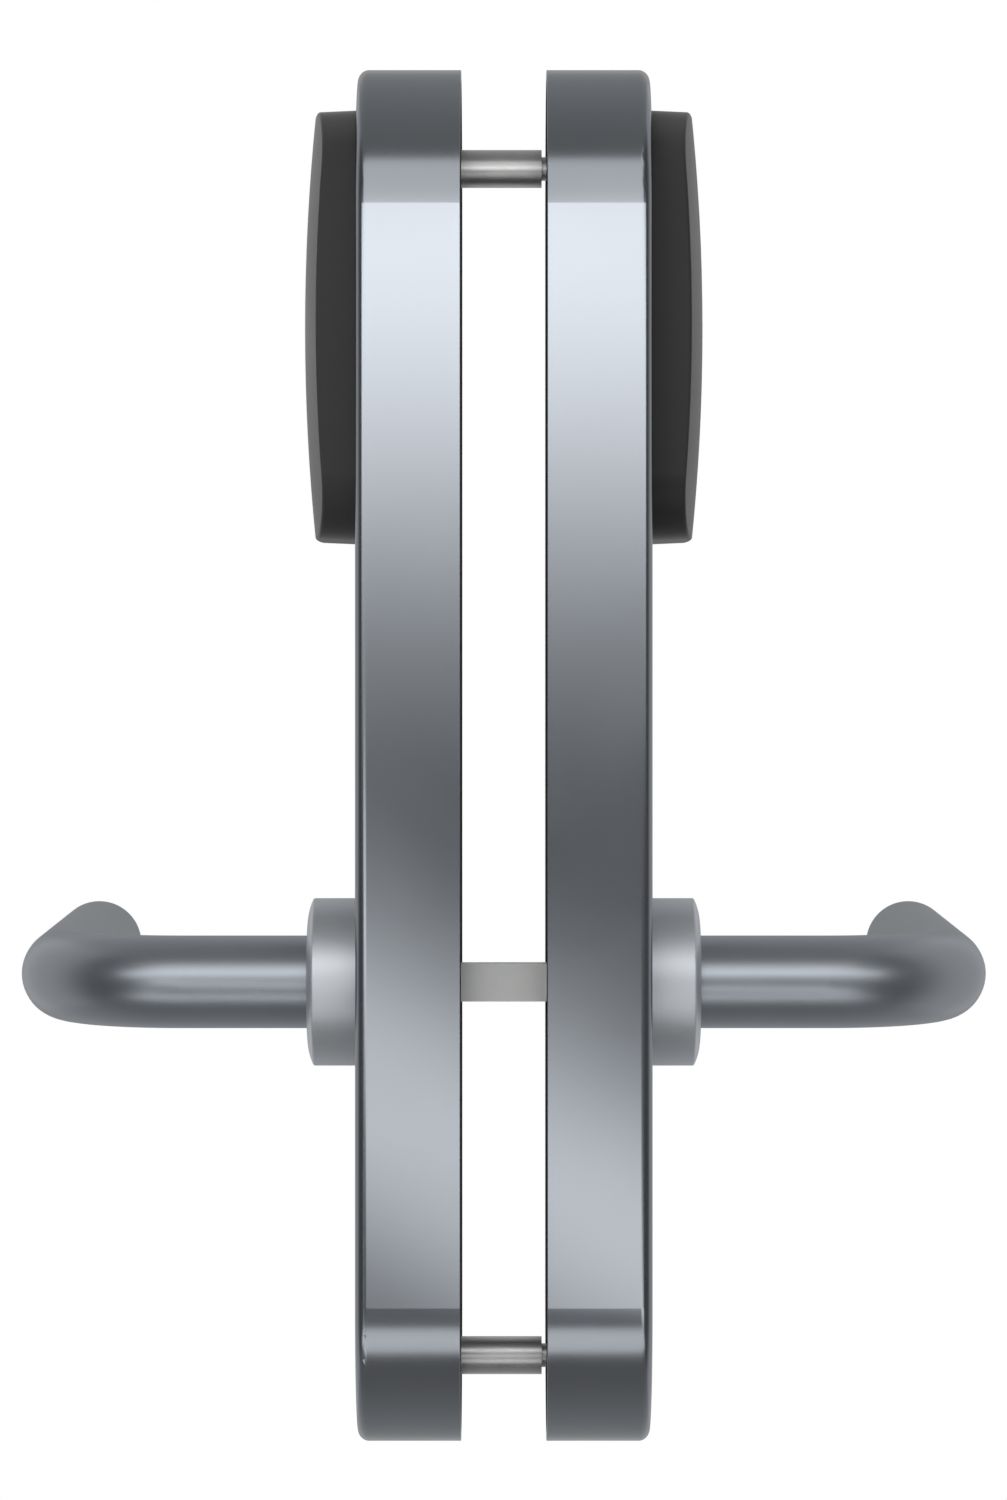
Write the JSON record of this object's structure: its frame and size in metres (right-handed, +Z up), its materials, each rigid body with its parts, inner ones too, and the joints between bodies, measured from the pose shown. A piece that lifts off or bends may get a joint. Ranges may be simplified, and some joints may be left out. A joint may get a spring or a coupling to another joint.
{
  "type": "smart door lock",
  "caption": "Electronic door lock set: two mirrored round-ended escutcheons with domed card readers and round bent levers on one spindle, clamped through a door leaf.",
  "frame": {"origin": "where the spindle axis crosses the middle of the door leaf", "axes": "+X out of the inside face of the leaf, +Y along the levers, +Z up"},
  "size_m": [0.2084, 0.1492, 0.2896],
  "materials": {
    "satin_steel": "satin stainless",
    "zinc_steel": "zinc plated",
    "spring_steel": "bright spring steel",
    "black_foam": "closed-cell foam",
    "reader_black": "fine satin",
    "smoked_lens": "smoked gloss",
    "circuit_board": "solder mask",
    "bearing_plastic": "natural acetal",
    "inner_plastic": "moulded",
    "brass": "turned",
    "motor_can": "plated can",
    "cell_wrap": "plain wrap"
  },
  "bodies": {
    "escutcheons": {"inside_shell": "satin_steel", "inside_base_plate": "zinc_steel", "inside_gasket": "black_foam", "inside_stop_posts": "zinc_steel", "inside_shell_screw": "zinc_steel", "inside_reader_cover": "reader_black", "inside_status_lens": "smoked_lens", "inside_reader_board": "circuit_board", "inside_reader_nuts": "zinc_steel", "inside_rosette": "satin_steel", "inside_rosette_screws": "zinc_steel", "inside_lever_bush": "bearing_plastic", "inside_return_spring": "spring_steel", "inside_clutch_motor": "motor_can", "inside_clutch_carrier": "inner_plastic", "inside_control_board": "circuit_board", "inside_chassis_screws": "zinc_steel", "inside_battery_tray": "inner_plastic", "inside_battery_cells": "cell_wrap", "inside_battery_contacts": "spring_steel", "outside_shell": "satin_steel", "outside_base_plate": "zinc_steel", "outside_gasket": "black_foam", "outside_stop_posts": "zinc_steel", "outside_shell_screw": "zinc_steel", "outside_reader_cover": "reader_black", "outside_status_lens": "smoked_lens", "outside_reader_board": "circuit_board", "outside_reader_nuts": "zinc_steel", "outside_rosette": "satin_steel", "outside_rosette_screws": "zinc_steel", "outside_lever_bush": "bearing_plastic", "outside_return_spring": "spring_steel", "outside_clutch_motor": "motor_can", "outside_clutch_carrier": "inner_plastic", "outside_control_board": "circuit_board", "outside_chassis_screws": "zinc_steel", "outside_battery_tray": "inner_plastic", "outside_battery_cells": "cell_wrap", "outside_battery_contacts": "spring_steel", "sleeves": "zinc_steel", "through_bolts": "zinc_steel"},
    "inside_lever_body": {"inside_lever": "satin_steel", "inside_retaining_ring": "spring_steel", "inside_driver": "zinc_steel", "inside_driver_screw": "zinc_steel"},
    "inside_pin_body": {"inside_clutch_pin": "zinc_steel"},
    "inside_shoe_body": {"inside_clutch_shoe": "bearing_plastic"},
    "inside_screw_body": {"inside_clutch_screw": "brass"},
    "outside_lever_body": {"outside_lever": "satin_steel", "outside_retaining_ring": "spring_steel", "outside_driver": "zinc_steel", "outside_driver_screw": "zinc_steel"},
    "outside_pin_body": {"outside_clutch_pin": "zinc_steel"},
    "outside_shoe_body": {"outside_clutch_shoe": "bearing_plastic"},
    "outside_screw_body": {"outside_clutch_screw": "brass"},
    "spindle_body": {"spindle": "zinc_steel", "inside_spindle_hub": "zinc_steel", "outside_spindle_hub": "zinc_steel"}
  },
  "joints": [
    {"name": "outside_lever_turn", "type": "hinge", "parent": "escutcheons", "child": "outside_lever_body", "pos_m": [0, 0, 0], "axis": [-1, 0, 0], "range_deg": [0, 45], "stiffness_Nm_per_rad": 0.9, "springref_deg": -57.3, "deforming": ["outside_return_spring"]},
    {"name": "inside_lever_turn", "type": "hinge", "parent": "escutcheons", "child": "inside_lever_body", "pos_m": [0, 0, 0], "axis": [-1, 0, 0], "range_deg": [0, 45], "stiffness_Nm_per_rad": 0.9, "springref_deg": -57.3, "deforming": ["inside_return_spring"]},
    {"name": "spindle_turn", "type": "hinge", "parent": "escutcheons", "child": "spindle_body", "pos_m": [0, 0, 0], "axis": [-1, 0, 0], "range_deg": [0, 45]},
    {"name": "outside_clutch_slide", "type": "slide", "parent": "escutcheons", "child": "outside_shoe_body", "axis": [0, 0, 1], "range_m": [0, 0.0032]},
    {"name": "outside_pin_slide", "type": "slide", "parent": "outside_lever_body", "child": "outside_pin_body", "axis": [0, 0, 1], "range_m": [0, 0.0032]},
    {"name": "outside_screw_turn", "type": "hinge", "parent": "escutcheons", "child": "outside_screw_body", "pos_m": [-0.0195, 0, 0.03], "axis": [0, 0, 1], "range_deg": [0, 360]},
    {"name": "inside_clutch_slide", "type": "slide", "parent": "escutcheons", "child": "inside_shoe_body", "axis": [0, 0, 1], "range_m": [0, 0.0032]},
    {"name": "inside_pin_slide", "type": "slide", "parent": "inside_lever_body", "child": "inside_pin_body", "axis": [0, 0, 1], "range_m": [0, 0.0032]},
    {"name": "inside_screw_turn", "type": "hinge", "parent": "escutcheons", "child": "inside_screw_body", "pos_m": [0.0195, 0, 0.03], "axis": [0, 0, 1], "range_deg": [0, 360]}
  ],
  "couplings": [
    {"joint": "inside_lever_turn", "follows": "outside_lever_turn", "ratio": 1},
    {"joint": "spindle_turn", "follows": "outside_lever_turn", "ratio": 1},
    {"joint": "outside_pin_slide", "follows": "outside_clutch_slide", "ratio": 1},
    {"joint": "outside_screw_turn", "follows": "outside_clutch_slide", "rad_per_m": 1963.5},
    {"joint": "inside_pin_slide", "follows": "inside_clutch_slide", "ratio": 1},
    {"joint": "inside_screw_turn", "follows": "inside_clutch_slide", "rad_per_m": 1963.5}
  ]
}
